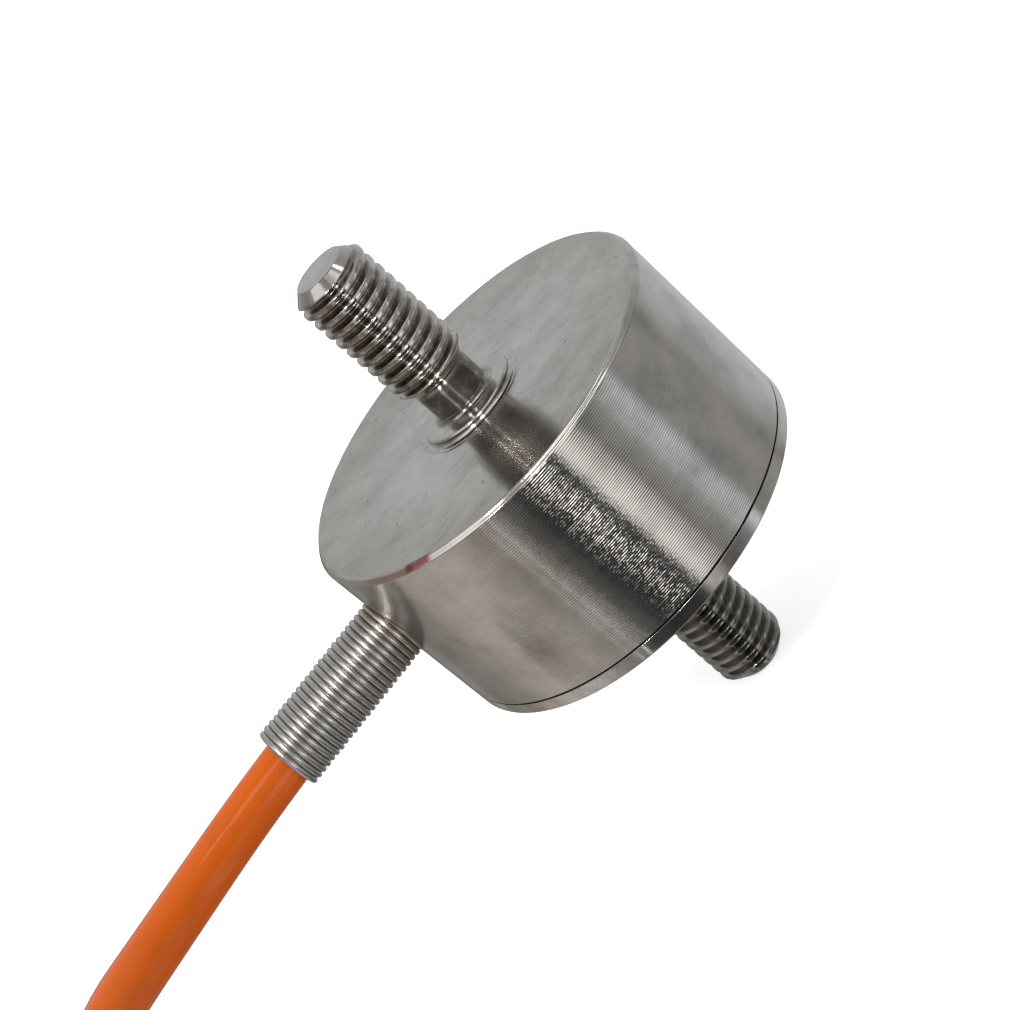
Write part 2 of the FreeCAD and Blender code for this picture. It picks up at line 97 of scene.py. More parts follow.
def times(add, *factors):
    """The product of numbers and sockets."""
    product = factors[0]
    for factor in factors[1:]:
        product = add("Math", {0: product, 1: factor}, operation="MULTIPLY")
    return product


def step_up(add, value, low, high):
    """A smooth step of a value from 0 at low to 1 at high."""
    limits = {"Value": value, "From Min": low, "From Max": high}
    return add("MapRange", limits, interpolation_type="SMOOTHSTEP")


def window(add, value, centre, half, edge):
    """1 within half of a centre, falling smoothly to 0 over an edge."""
    offset = add("Math", {0: value, 1: centre}, operation="SUBTRACT")
    return step_up(add, add("Math", {0: offset}, operation="ABSOLUTE"), half + edge, half)


def ramp(add, factor, stops):
    """Colours along a factor, given as (place, linear colour)."""
    colours = add("ValToRGB", {"Fac": factor})
    elements = colours.node.color_ramp.elements
    while len(elements) < len(stops):
        elements.new(0.5)
    for element, (place, colour) in zip(elements, sorted(stops)):
        element.position = place
        element.color = colour
    return colours


def layered(add, colour, layers):
    """A colour with others laid over it in turn: (amount, colour), and how they mix if not plainly."""
    for amount, over, *mode in layers:
        over = linear(over) if isinstance(over, str) else over
        blend = mode[0] if mode else "MIX"
        colour = add("Mix", {0: amount, 6: colour, 7: over}, output=2, data_type="RGBA", blend_type=blend)
    return colour


class AxisPlace:
    """A point's place round the load axis, as sockets in millimetres and degrees."""

    def __init__(self, add):
        """Split Object coordinates into distance from the axis, height and azimuth."""
        self.add = add
        scale = {0: add("TexCoord", output="Object"), 1: (1 / MM, 1 / MM, 1 / MM)}
        self.point = add("VectorMath", scale, operation="MULTIPLY")
        x, y, self.z = add("SeparateXYZ", {0: self.point}).node.outputs
        flat = add("CombineXYZ", {"X": x, "Y": y})
        self.radius = add("VectorMath", {0: flat}, output="Value", operation="LENGTH")
        angle = add("Math", {0: y, 1: x}, operation="ARCTAN2")
        degrees = add("Math", {0: angle}, operation="DEGREES")
        positive = add("Math", {0: degrees, 1: 360.0}, operation="ADD")
        self.degrees = add("Math", {0: positive, 1: 360.0}, operation="MODULO")
        self.radians = add("Math", {0: self.degrees}, operation="RADIANS")
        self.round_way = add("CombineXYZ", {"X": times(add, y, -1.0), "Y": x})

    def pattern(self, along, across):
        """Coordinates with one unit for along mm round the axis, and one for across mm up and outwards."""
        add = self.add
        arc = times(add, self.radians, self.radius)
        rise = add("Math", {0: self.z, 1: self.radius}, operation="ADD")
        units = {
            "X": add("Math", {0: arc, 1: along}, operation="DIVIDE"),
            "Y": add("Math", {0: rise, 1: across}, operation="DIVIDE"),
        }
        return add("CombineXYZ", units)


# Materials -----------------------------------------------------------------------------------


def turned_steel_material(sizes, colours):
    """Stainless steel, fine turned: satin at the sides, with marks at the front that shine in beads, partly
    painted in as highlights and shade.
    """
    material, add = new_material("turned stainless steel")
    place = AxisPlace(add)
    # The marks are 0.1 mm apart on the real case, and drawn a little coarser so that they show.
    uneven = {"Vector": place.pattern(40.0, 0.9), "Scale": 1.0, "Detail": 1.0}
    sway = times(add, add("TexNoise", uneven, noise_dimensions="2D"), 0.7)
    level = add("Math", {0: place.z, 1: sizes.tool_mark / MM}, operation="DIVIDE")
    turns = add("Math", {0: level, 1: sway}, operation="ADD")
    wave = add("Math", {0: times(add, turns, 2 * math.pi)}, operation="SINE")
    marks = times(add, add("Math", {0: wave, 1: 1.0}, operation="ADD"), 0.5)
    # The marks are drawn deeper over the front, where the light makes them show, and those of one strip
    # there are broken into facets about 0.3 mm long. Each mark has a row of its own in the noise that
    # breaks it.
    front = times(add, step_up(add, place.degrees, 226.0, 242.0), step_up(add, place.degrees, 312.0, 286.0))
    ring = add("Math", {0: add("Math", {0: turns, 1: 0.25}, operation="ADD")}, operation="FLOOR")
    row = times(add, ring, 5.17)
    track = add("CombineXYZ", {"X": times(add, place.radians, CASE_RADIUS / 0.27), "Y": row})
    breaks = add("TexNoise", {"Vector": track, "Scale": 1.0, "Detail": 0.0}, noise_dimensions="2D")
    facet = add("MapRange", {"Value": breaks, "From Min": 0.36, "From Max": 0.64})
    gap = add("Math", {0: 1.0, 1: facet}, operation="SUBTRACT")
    lost = times(add, window(add, place.degrees, 262.0, 5.0, 6.0), 0.38, gap)
    deep = times(add, front, add("Math", {0: 1.0, 1: lost}, operation="SUBTRACT"), 0.9)
    cut = times(add, marks, add("Math", {0: deep, 1: 0.1}, operation="ADD"))
    grain = {"Vector": place.pattern(1.3, 0.07), "Scale": 1.0, "Detail": 2.0, "Roughness": 0.6}
    fine = add("TexNoise", grain, noise_dimensions="2D")
    height = add("Math", {0: cut, 1: times(add, fine, 0.2)}, operation="ADD")
    # The smudges are warm on the left and cooler grey on the right.
    cloud = add("TexNoise", {"Vector": place.point, "Scale": 0.35, "Detail": 3.0, "Roughness": 0.55})
    right = step_up(add, place.degrees, 230.0, 285.0)
    smudge = layered(add, linear("#E3DED8"), [(right, "#DADCDC")])
    streaks = add("MapRange", {"Value": fine, "From Min": 0.3, "From Max": 0.7})
    # Painted highlight and shade: over the front the marks lighten and darken the colour in beads, and
    # elsewhere it is darkened a little.
    shade = add("Math", {0: 0.88, 1: times(add, cut, 0.3)}, operation="ADD")
    # Painted reflections of the orange cable coil sit on the rim over the cable outlet's left: a dark red
    # one, and a pale pink one beside it.
    on_rim = step_up(add, place.z, 12.55, 12.62)
    painted_coil_fringe = times(add, on_rim, window(add, place.degrees, 211.0, 5.0, 5.0), 0.6)
    patchy = step_up(add, cloud, 0.15, 0.45)
    painted_coil_reflection = times(add, on_rim, window(add, place.degrees, 222.5, 3.2, 2.2), patchy, 0.85)
    colour = layered(
        add,
        linear("#C4C0BB"),
        [
            (streaks, opaque(colours.steel)),
            (step_up(add, cloud, 0.35, 0.75), smudge, "MULTIPLY"),
            (1.0, shade, "MULTIPLY"),
            (painted_coil_fringe, "#C09A8C"),
            (painted_coil_reflection, "#8A3437"),
        ],
    )
    polish = {"Value": front, "To Min": 0.21, "To Max": 0.12}
    finish = {
        "Base Color": colour,
        "Roughness": add("MapRange", polish),
        "Normal": add("Bump", {"Height": height, "Strength": 1.0, "Distance": 0.009 * MM}),
        "Tangent": place.round_way,
        "Metallic": 1.0,
        "Anisotropic": 0.7,
        "Anisotropic Rotation": 0.25,
    }
    add("OutputMaterial", {"Surface": add("BsdfPrincipled", finish)})
    return material


def lapped_steel_material(colours):
    """Stainless steel, lapped flat: an even satin with a soft mirror image, pits and hair scratches."""
    material, add = new_material("lapped stainless steel")
    place = AxisPlace(add)
    cloud = add("TexNoise", {"Vector": place.point, "Scale": 0.28, "Detail": 4.0, "Roughness": 0.6})
    wiped = {"Vector": place.point, "Scale": 0.9, "Detail": 3.0, "Roughness": 0.6, "Distortion": 1.2}
    smear = add("TexNoise", wiped)
    lapped = {"Vector": place.pattern(9.0, 0.12), "Scale": 1.0, "Detail": 1.0}
    rings = add("TexNoise", lapped, noise_dimensions="2D")
    # Each cell of 1.1 mm may hold a pit, and about one in three does.
    cells = add("TexVoronoi", {"Vector": place.point, "Scale": 0.9, "Randomness": 1.0}).node.outputs
    chosen = add("SeparateColor", {"Color": cells["Color"]})
    pit = times(add, step_up(add, cells["Distance"], 0.12, 0.04), step_up(add, chosen, 0.68, 0.74))
    # The face is scuffed near the rim over the cable's side of the front.
    scuffed = times(add, window(add, place.degrees, 238.0, 7.0, 6.0), step_up(add, place.radius, 6.5, 8.5))
    dense = times(add, scratches(add, place, 2.2), scuffed)
    scratch = add("Math", {0: scratches(add, place, 0.45), 1: dense}, operation="MAXIMUM")
    colour = layered(
        add,
        ramp(add, cloud, [(0.35, linear("#B9B7B2")), (0.62, opaque(colours.steel))]),
        [
            (times(add, step_up(add, place.radius, 5.5, 12.5), 0.75), "#E4E4E0", "MULTIPLY"),
            (step_up(add, smear, 0.48, 0.7), "#F4F3F1", "MULTIPLY"),
            (times(add, pit, 0.7), "#5C5852"),
            (times(add, scratch, 0.4), "#7C7A76"),
        ],
    )
    pitted = add("Math", {0: times(add, rings, 0.25), 1: pit}, operation="SUBTRACT")
    height = add("Math", {0: pitted, 1: times(add, scratch, 0.4)}, operation="SUBTRACT")
    polish = {"Value": smear, "From Min": 0.3, "From Max": 0.75, "To Min": 0.16, "To Max": 0.21}
    finish = {
        "Base Color": colour,
        "Roughness": add("MapRange", polish),
        "Normal": add("Bump", {"Height": height, "Strength": 0.5, "Distance": 0.004 * MM}),
        "Tangent": place.round_way,
        "Metallic": 1.0,
        "Anisotropic": 0.85,
        "Anisotropic Rotation": 0.25,
    }
    add("OutputMaterial", {"Surface": add("BsdfPrincipled", finish)})
    return material


def scratches(add, place, density):
    """Fine straight scratches in several directions, 1 on a scratch and 0 elsewhere."""
    total = 0.0
    for turn, seed in ((0.35, 3.0), (1.25, 11.0), (2.2, 23.0)):
        stretch = {"Rotation": (0.0, 0.0, turn), "Scale": (0.16, 5.5, 1.0), "Location": (seed, seed, 0.0)}
        turned_way = add("Mapping", {"Vector": place.point, **stretch})
        cells = {"Vector": turned_way, "Scale": 0.55, "Randomness": 1.0}
        away = add("TexVoronoi", cells, output="Distance", voronoi_dimensions="2D")
        line = step_up(add, away, 0.09 * density, 0.02 * density)
        total = add("Math", {0: total, 1: line}, operation="MAXIMUM")
    return total


def stud_steel_material(colours):
    """Stainless steel, thread cut and passivated: bright and slightly warm, with fine drag marks."""
    material, add = new_material("thread cut stainless steel")
    place = AxisPlace(add)
    dragged = {"Vector": place.pattern(0.5, 0.06), "Scale": 1.0, "Detail": 2.0, "Roughness": 0.6}
    drag = add("TexNoise", dragged, noise_dimensions="2D")
    cloud = add("TexNoise", {"Vector": place.point, "Scale": 1.3, "Detail": 3.0, "Roughness": 0.6})
    on_thread = step_up(add, place.radius, 2.6, 2.5)
    # The thread is darker towards its roots, in patches.
    darker_roots = times(add, step_up(add, place.radius, 2.34, 2.05), on_thread, step_up(add, cloud, 0.2, 0.5), 0.6)
    # Painted shade: the upper thread's left side is darkened to a warm brown.
    left = window(add, place.degrees, 219.0, 16.0, 12.0)
    patchy = {"Value": cloud, "From Min": 0.3, "From Max": 0.6, "To Min": 0.45, "To Max": 0.85}
    painted_left_shade = times(add, left, step_up(add, place.z, 15.6, 16.8), on_thread, add("MapRange", patchy))
    # The tip was faced after the thread was cut, and stays bright. The lower stud, under the case,
    # is darkened as painted shade.
    tip = step_up(add, place.z, 23.7, 23.95)
    film = times(add, step_up(add, place.z, -0.02, -0.1), 0.9)
    colour = layered(
        add,
        opaque(colours.stud),
        [
            (step_up(add, cloud, 0.4, 0.7), "#B4ACA5"),
            (darker_roots, "#5A534E"),
            (painted_left_shade, "#6E645C"),
            (tip, "#B5B2AE"),
            (film, "#8A8783"),
        ],
    )
    polish = {"Value": drag, "From Min": 0.3, "From Max": 0.7, "To Min": 0.05, "To Max": 0.12}
    finish = {
        "Base Color": colour,
        "Roughness": add("MapRange", polish),
        "Normal": add("Bump", {"Height": drag, "Strength": 0.5, "Distance": 0.0016 * MM}),
        "Metallic": 1.0,
    }
    add("OutputMaterial", {"Surface": add("BsdfPrincipled", finish)})
    return material


def spring_wire_material(colours):
    """Spring steel, cold drawn: bright wire with fine lengthwise die lines."""
    material, add = new_material("drawn spring steel")
    uv = add("UVMap", uv_map="wire")
    lines = add("Mapping", {"Vector": uv, "Scale": (0.35, 14.0, 1.0)})
    die = {"Vector": lines, "Scale": 1.0, "Detail": 2.0, "Roughness": 0.6}
    grain = add("TexNoise", die, noise_dimensions="2D")
    # Painted shade: the wire is tinted warm brown near the case.
    painted_shade_near_case = times(add, step_up(add, AxisPlace(add).radius, 15.2, 12.4), 0.3)
    worn = step_up(add, grain, 0.55, 0.8)
    finish = {
        "Base Color": layered(add, opaque(colours.spring), [(painted_shade_near_case, "#A8937E"), (worn, "#8D8378")]),
        "Normal": add("Bump", {"Height": grain, "Strength": 0.4, "Distance": 0.003 * MM}),
        "Metallic": 1.0,
        "Roughness": 0.28,
    }
    add("OutputMaterial", {"Surface": add("BsdfPrincipled", finish)})
    return material


def jacket_material(colours):
    """Polyurethane cable jacket, extruded: deep orange, glossy, with faint draw lines along it."""
    material, add = new_material("extruded polyurethane jacket")
    uv = add("UVMap", uv_map="cable")
    drawn = add("Mapping", {"Vector": uv, "Scale": (0.05, 2.2, 1.0)})
    lines = add("TexNoise", {"Vector": drawn, "Scale": 1.0, "Detail": 2.0}, noise_dimensions="2D")
    mottled = add("TexNoise", {"Vector": uv, "Scale": 0.5, "Detail": 3.0}, noise_dimensions="2D")
    finish = {
        "Base Color": ramp(add, mottled, [(0.3, linear("#C6570C")), (0.7, opaque(colours.jacket))]),
        "Normal": add("Bump", {"Height": lines, "Strength": 0.35, "Distance": 0.02 * MM}),
        "Roughness": 0.12,
        "IOR": 1.38,
    }
    add("OutputMaterial", {"Surface": add("BsdfPrincipled", finish)})
    return material


def plain_finish(name, colour, roughness, metallic=0.0, grain_mm=0.4):
    """A moulded, coated or drawn finish with fine mottling of the given grain."""
    material, add = new_material(name)
    mottle = {"Vector": AxisPlace(add).point, "Scale": 1 / grain_mm, "Detail": 3.0, "Roughness": 0.55}
    grain = add("TexNoise", mottle)
    base = linear(colour)[:3]
    dark = opaque(c * 0.88 for c in base)
    light = opaque(min(1.0, c * 1.12) for c in base)
    limits = {"From Min": 0.3, "From Max": 0.7, "To Min": roughness * 0.85, "To Max": roughness * 1.15}
    finish = {
        "Base Color": ramp(add, grain, [(0.3, dark), (0.7, light)]),
        "Roughness": add("MapRange", {"Value": grain, **limits}),
        "Normal": add("Bump", {"Height": grain, "Strength": 0.4, "Distance": grain_mm * 0.03 * MM}),
        "Metallic": metallic,
    }
    add("OutputMaterial", {"Surface": add("BsdfPrincipled", finish)})
    return material


# Finishes of the small pieces: name, colour, roughness, metallic, grain in mm.
SMALL_FINISHES = {
    "black_sleeve": ("polyolefin shrink sleeve", "#17171A", 0.5, 0.0, 0.3),
    "tie": ("woven nylon strap", "#1A1A1C", 0.75, 0.0, 0.25),
    "seal": ("nitrile rubber", "#151515", 0.6, 0.0, 0.3),
    "crimp": ("turned brass", "#C6A15A", 0.28, 1.0, 0.2),
    "gauge_foil": ("polyimide gauge film", "#B9822F", 0.35, 0.0, 0.15),
    "board": ("green solder lacquer", "#1E5E37", 0.3, 0.0, 0.5),
    "resistor": ("ceramic chip", "#1C1C20", 0.55, 0.0, 0.2),
    "tin": ("tinned copper strands", "#C9C6BF", 0.3, 1.0, 0.12),
    "copper": ("bare copper ribbon", "#C5774E", 0.3, 1.0, 0.15),
    "core_red": ("red PVC core", "#B3211B", 0.38, 0.0, 0.4),
    "core_black": ("black PVC core", "#1B1B1B", 0.38, 0.0, 0.4),
    "core_green": ("green PVC core", "#1F7A3C", 0.38, 0.0, 0.4),
    "core_white": ("white PVC core", "#DCDAD3", 0.38, 0.0, 0.4),
}


def small_material(slot):
    """The finish of a small piece, made once for each slot."""
    finish = SMALL_FINISHES[slot]
    return bpy.data.materials.get(finish[0]) or plain_finish(*finish)


# Mesh making ---------------------------------------------------------------------------------


def grid_faces(rows, columns, closed=True):
    """Quads of a grid whose vertices run row by row; closed joins the last column to the first."""
    row = np.arange(rows - 1)[:, None]
    column = np.arange(columns if closed else columns - 1)[None, :]
    after = (column + 1) % columns
    low, high = row * columns, (row + 1) * columns
    corners = [low + column, low + after, high + after, high + column]
    return np.stack(np.broadcast_arrays(*corners), axis=-1).reshape(-1, 4)


def join_patches(patches):
    """Join (vertices, faces, finish number) patches into single arrays."""
    points, quads, finishes, count = [], [], [], 0
    for vertices, faces, finish in patches:
        points.append(vertices)
        quads.append(faces + count)
        finishes.append(np.full(len(faces), finish))
        count += len(vertices)
    return np.concatenate(points), np.concatenate(quads), np.concatenate(finishes)


def make_mesh(name, patches, materials, uv_name=None, uv=None):
    """Make a smooth-shaded, closed mesh object from patches in millimetres, with shared edges welded."""
    vertices, faces, finishes = join_patches(patches)
    mesh = bpy.data.meshes.new(name)
    mesh.from_pydata((vertices * MM).tolist(), [], faces.tolist())
    mesh.polygons.foreach_set("material_index", finishes.astype(np.int32))
    mesh.polygons.foreach_set("use_smooth", np.ones(len(faces), dtype=bool))
    if uv is not None:
        layer = mesh.uv_layers.new(name=uv_name)
        layer.data.foreach_set("uv", uv.reshape(-1).astype(np.float32))
    for material in materials:
        mesh.materials.append(material)
    weld = bmesh.new()
    weld.from_mesh(mesh)
    bmesh.ops.remove_doubles(weld, verts=weld.verts, dist=WELD_REACH)
    bmesh.ops.dissolve_degenerate(weld, edges=weld.edges, dist=WELD_REACH / 2)
    bmesh.ops.recalc_face_normals(weld, faces=weld.faces)
    weld.to_mesh(mesh)
    weld.free()
    mesh.update()
    piece = bpy.data.objects.new(name, mesh)
    bpy.context.scene.collection.objects.link(piece)
    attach(piece, "root")
    return piece


def round_points(radius, angle, height):
    """Points at x = r cos a, y = r sin a, z = height, from values that spread over one grid."""
    return np.stack(np.broadcast_arrays(radius * np.cos(angle), radius * np.sin(angle), height), axis=-1)


def turned(profile, finish):
    """Turn a profile of (radius, height) points about Z: x = r cos a, y = r sin a, z = height."""
    profile = np.array(profile, dtype=float)
    grid = round_points(profile[:, :1], AZIMUTHS, profile[:, 1:])
    return grid.reshape(-1, 3), grid_faces(len(profile), COLUMNS), finish


def arc(centre, radius, start, end, count):
    """Points of a circular arc between two angles in degrees, as (radius, height)."""
    angle = np.radians(np.linspace(start, end, count))
    return [(centre[0] + radius * math.cos(a), centre[1] + radius * math.sin(a)) for a in angle]


def rounded(corners, radius):
    """A profile whose inner corners are rounded, with a support point on each side.

    Each inner corner gives six points: a support, four on a quadratic curve from a point at
    distance radius before the corner to one at the same distance after it, and a support.
    """
    points = [corners[0]]
    for trio in zip(corners, corners[1:], corners[2:]):
        before, corner, after = (np.array(point, dtype=float) for point in trio)
        back, ahead = before - corner, after - corner
        reach = min(radius, 0.4 * np.linalg.norm(back), 0.4 * np.linalg.norm(ahead))
        back /= np.linalg.norm(back)
        ahead /= np.linalg.norm(ahead)
        points.append(tuple(corner + back * reach * 1.5))
        for t in np.linspace(0, 1, 4):
            points.append(tuple(corner + back * reach * (1 - t) ** 2 + ahead * reach * t**2))
        points.append(tuple(corner + ahead * reach * 1.5))
    return points + [corners[-1]]


def flatten(low, high, count, value, along_radius):
    """Evenly spaced profile points between two radii at a height, or two heights at a radius."""
    steps = np.linspace(low, high, count)
    return [(s, value) if along_radius else (value, s) for s in steps]


def thread_section(phase, depth):
    """Height of a rounded 60 degree thread over its root: a trapezium wave with eased corners."""
    away = np.abs(((phase + 0.5) % 1.0) - 0.5) * 2
    rise = np.clip((0.84 - away) / (0.84 - 0.30), 0, 1)
    return depth * (rise - np.sin(2 * np.pi * rise) / (2 * np.pi) * 0.55)


def threaded(low, high, sizes, crest_azimuth, crest_height, limit):
    """A right-handed thread between two heights, on a grid whose rows follow the helix.

    Row i and column j lie at height low - pitch + pitch (i / THREAD_ROWS + j / COLUMNS), held
    between low and high. The radius is root plus thread_section of
    (height - crest_height) / pitch - (azimuth - crest_azimuth) / 360, passed through limit.
    """
    pitch, depth, crest = sizes.thread_pitch / MM, sizes.thread_depth / MM, sizes.thread_radius / MM
    rows = (math.ceil((high - low) / pitch) + 2) * THREAD_ROWS + 1
    row, column = np.meshgrid(np.arange(rows), np.arange(COLUMNS), indexing="ij")
    height = np.clip(low - pitch + pitch * (row / THREAD_ROWS + column / COLUMNS), low, high)
    azimuth = 2 * np.pi * column / COLUMNS
    phase = (height - crest_height) / pitch - (azimuth - math.radians(crest_azimuth)) / (2 * np.pi)
    radius = limit(crest - depth + thread_section(phase, depth), height)
    grid = round_points(radius, azimuth, height)
    inner = grid_faces(rows, COLUMNS, closed=False)
    # The last column joins the first one a whole pitch further on.
    last = np.arange(rows - 1 - THREAD_ROWS) * COLUMNS + COLUMNS - 1
    first = last + 1 + (THREAD_ROWS - 1) * COLUMNS
    seam = np.stack([last, first, first + COLUMNS, last + COLUMNS], axis=-1)
    return grid.reshape(-1, 3), np.concatenate([inner, seam]), THREADED


def bored_wall(radius, low, high, hole_radius):
    """A cylinder wall with a round hole on its -X side.

    Away from the hole it is a grid of height and azimuth. A square of 2 HOLE_SPAN cells a side
    round the hole is a grid between that square's edge and the circle y = r cos s,
    z = r sin s, with x = -sqrt(R squared - y squared) throughout. Returns the patches and
    the circle's points.
    """
    half = radius * math.sin(2 * math.pi * HOLE_SPAN / COLUMNS)
    mid = COLUMNS // 2
    square = OUTLET_HEIGHT + half * np.linspace(-1, 1, 2 * HOLE_SPAN + 1)
    below = np.linspace(low, square[0], max(2, int((square[0] - low) / 0.5) + 1))
    above = np.linspace(square[-1], high, max(2, int((high - square[-1]) / 0.5) + 1))
    beside = AZIMUTHS[np.arange(mid + HOLE_SPAN, mid - HOLE_SPAN + COLUMNS + 1) % COLUMNS]
    patches = []
    for heights, chosen in ((below, AZIMUTHS), (above, AZIMUTHS), (square, beside)):
        grid = round_points(radius, chosen, heights[:, None])
        faces = grid_faces(len(heights), len(chosen), closed=chosen is AZIMUTHS)
        patches.append((grid.reshape(-1, 3), faces, TURNED))
    side = -radius * np.sin(AZIMUTHS[mid - HOLE_SPAN : mid + HOLE_SPAN + 1] - math.pi)[::-1]
    bottom = np.stack([side, np.full_like(side, square[0])], axis=-1)[:-1]
    right = np.stack([np.full_like(square, side[-1]), square], axis=-1)[:-1]
    top = np.stack([side[::-1], np.full_like(side, square[-1])], axis=-1)[:-1]
    left = np.stack([np.full_like(square, side[0]), square[::-1]], axis=-1)[:-1]
    edge = np.concatenate([bottom, right, top, left])
    bearing = np.arctan2(edge[:, 1] - OUTLET_HEIGHT, edge[:, 0])
    circle = hole_radius * np.stack([np.cos(bearing), np.sin(bearing)], axis=-1) + [0.0, OUTLET_HEIGHT]
    blend = np.linspace(0, 1, 12)[:, None, None]
    flat = edge * (1 - blend) + circle * blend
    depth = -np.sqrt(radius**2 - flat[..., :1] ** 2)
    grid = np.concatenate([depth, flat], axis=-1)
    patches.append((grid.reshape(-1, 3), grid_faces(len(grid), len(edge)), TURNED))
    return patches, grid[-1]


def tube_patch(line, radius, sides):
    """A round tube along a line that never runs straight up.

    Ring k is centred on point k, and its points are centre + r (cos s side + sin s up),
    where side is the level normal of the tangent and up is square to both. Each end closes
    to its middle. Returns the patch and its UVs: length along in mm, and length round in mm.
    """
    tangent = np.gradient(line, axis=0)
    tangent /= np.linalg.norm(tangent, axis=1, keepdims=True)
    side = np.cross(tangent, [0.0, 0.0, 1.0])
    side /= np.linalg.norm(side, axis=1, keepdims=True)
    up = np.cross(side, tangent)
    along = np.concatenate([[0], np.cumsum(np.linalg.norm(np.diff(line, axis=0), axis=1))])
    turn = (2 * np.pi * np.arange(sides) / sides)[None, :, None]
    rings = line[:, None] + radius * (np.cos(turn) * side[:, None] + np.sin(turn) * up[:, None])
    closing = np.array([0.0, 0.9])[:, None, None]
    first, last = (line[end] + (rings[end] - line[end]) * closing for end in (0, -1))
    rings = np.concatenate([first, rings, last[::-1]])
    along = np.concatenate([along[:1], along[:1], along, along[-1:], along[-1:]])
    faces = grid_faces(len(rings), sides)
    lengths = along[faces // sides]
    places = (faces % sides).astype(float)
    wrapped = (places.max(axis=1, keepdims=True) - places > sides / 2) & (places < sides / 2)
    places = np.where(wrapped, places + sides, places)
    uv = np.stack([lengths, places / sides * 2 * np.pi * radius], axis=-1)
    return (rings.reshape(-1, 3), faces, 0), uv


# Sizes and colours that a user may change ------------------------------------------------------


def length_setting(name, description, millimetres):
    """A setting for a length, with its default in millimetres."""
    return FloatProperty(name=name, description=description, default=millimetres * MM, unit="LENGTH")


def colour_setting(name, description, hex_code):
    """A setting for a colour, with its default as a hex code."""
    return FloatVectorProperty(
        name=name, description=description, default=linear(hex_code)[:3], subtype="COLOR", size=3
    )


class LoadCellSizes(bpy.types.PropertyGroup):
    """Sizes of what the solids leave plain."""

    thread_pitch: length_setting("Thread pitch", "Rise of one turn", 0.8)
    thread_depth: length_setting("Thread depth", "From crest to root", 0.43)
    thread_radius: length_setting("Thread radius", "From the axis to a crest", 2.44)
    tool_mark: length_setting("Tool mark", "Spacing of the turning marks", 0.145)
    wire: length_setting("Spring wire", "Diameter of the wire", 0.4)
    wire_turns: IntProperty(name="Spring turns", description="Turns of the wire", default=25, min=3)
    cable: length_setting("Cable", "Diameter of the jacket", 3.0)


class LoadCellColours(bpy.types.PropertyGroup):
    """Main colours, linear."""

    steel: colour_setting("Steel", "Turned case", "#CFCBC6")
    stud: colour_setting("Stud", "Threads and collar", "#C4C1BD")
    spring: colour_setting("Spring", "Relief spring", "#CCCAC7")
    jacket: colour_setting("Jacket", "Cable jacket", "#CC5A0C")


# Heights and radii of the turned pieces, as in the solids, in millimetres.
CASE_RADIUS = 12.5
CASE_TOP = 12.8
CASE_FOOT = 1.07
BORE_RADIUS = 10.5
DIAPHRAGM_UNDERSIDE = 12.0
HUB_RADIUS = 3.5
HUB_FOOT = 10.4
STUD_TIP = 24.4
NECK_TOP = 15.45
NECK_RADIUS = 1.84
TIP_RADIUS = 1.64
LOWER_TIP = -12.4
OUTLET_HEIGHT = 7.8
OUTLET_RADIUS = 2.155
INNER_HOLE_RADIUS = 1.6
COVER_TOP = 0.95
SEAT_RADIUS = 12.1
SPIGOT_RADIUS = 10.45
SPIGOT_TOP = 2.67
SPRING_SEAT = -11.9
SPRING_END = -22.275
SPRING_RADIUS = 2.125
# Azimuth in degrees and height of a crest of each thread, as the photograph shows them.
UPPER_CREST = (174.1, 18.27)
LOWER_CREST = (264.0, -6.6)

# How finely things are drawn: columns round the axis, rows in a pitch of thread, columns from the
# outlet's middle to the edge of the square round it, points in a turn of the spring's wire, and
# vertices closer than this in metres are one.
COLUMNS = 192
AZIMUTHS = 2 * np.pi * np.arange(COLUMNS) / COLUMNS
THREAD_ROWS = 16
HOLE_SPAN = 8
WIRE_STEPS = 44
WELD_REACH = 2e-7

# Steel finishes of a turned piece, in the order of its material slots.
# The last paints the shade in the seam between case and cover near-black.
TURNED, LAPPED, THREADED, SEAM_SHADE = 0, 1, 2, 3


# The photograph's camera ------------------------------------------------------------------------

CAMERA_PLACE = (-11.383, -108.810, 56.894)
CAMERA_AZIMUTH = 85.656
CAMERA_ELEVATION = -24.533
CAMERA_ROLL = 49.56
CAMERA_LENS = 74.98
SENSOR = 36.0


def sky_direction(azimuth, elevation):
    """The unit vector towards an azimuth and an elevation in degrees."""
    turn, rise = math.radians(azimuth), math.radians(elevation)
    return Vector((math.cos(rise) * math.cos(turn), math.cos(rise) * math.sin(turn), math.sin(rise)))


class LOADCELL_OT_camera(bpy.types.Operator):
    """Place the camera above the cell and roll it"""

    bl_idname = "loadcell.camera"
    bl_label = "Camera"

    def execute(self, context):
        """Look along an azimuth and an elevation, with the frame rolled about that line."""
        data = bpy.data.cameras.new("camera")
        data.sensor_width = SENSOR
        data.lens = CAMERA_LENS
        data.clip_start = 0.01
        data.clip_end = 20.0
        camera = bpy.data.objects.new("camera", data)
        context.scene.collection.objects.link(camera)
        look = sky_direction(CAMERA_AZIMUTH, CAMERA_ELEVATION)
        level = look.cross(Vector((0, 0, 1))).normalized()
        up = level.cross(look)
        roll = math.radians(CAMERA_ROLL)
        right = level * math.cos(roll) - up * math.sin(roll)
        upward = right.cross(look)
        turn = Matrix((right, upward, -look)).transposed().to_4x4()
        camera.matrix_world = Matrix.Translation(Vector(CAMERA_PLACE) * MM) @ turn
        context.scene.camera = camera
        return {"FINISHED"}


# The cable ---------------------------------------------------------------------------------------

# The route from the jacket's inner end to the coil, as in the solids.
CABLE_ROUTE = [
    (-8.9, 0.0, 7.8), (-16.9, 0.0, 7.8), (-25.0, -0.2, 7.7), (-32.7, -3.9, 8.7),
    (-38.4, -10.2, 11.0), (-42.4, -17.7, 10.5), (-45.5, -24.8, 6.7),
]
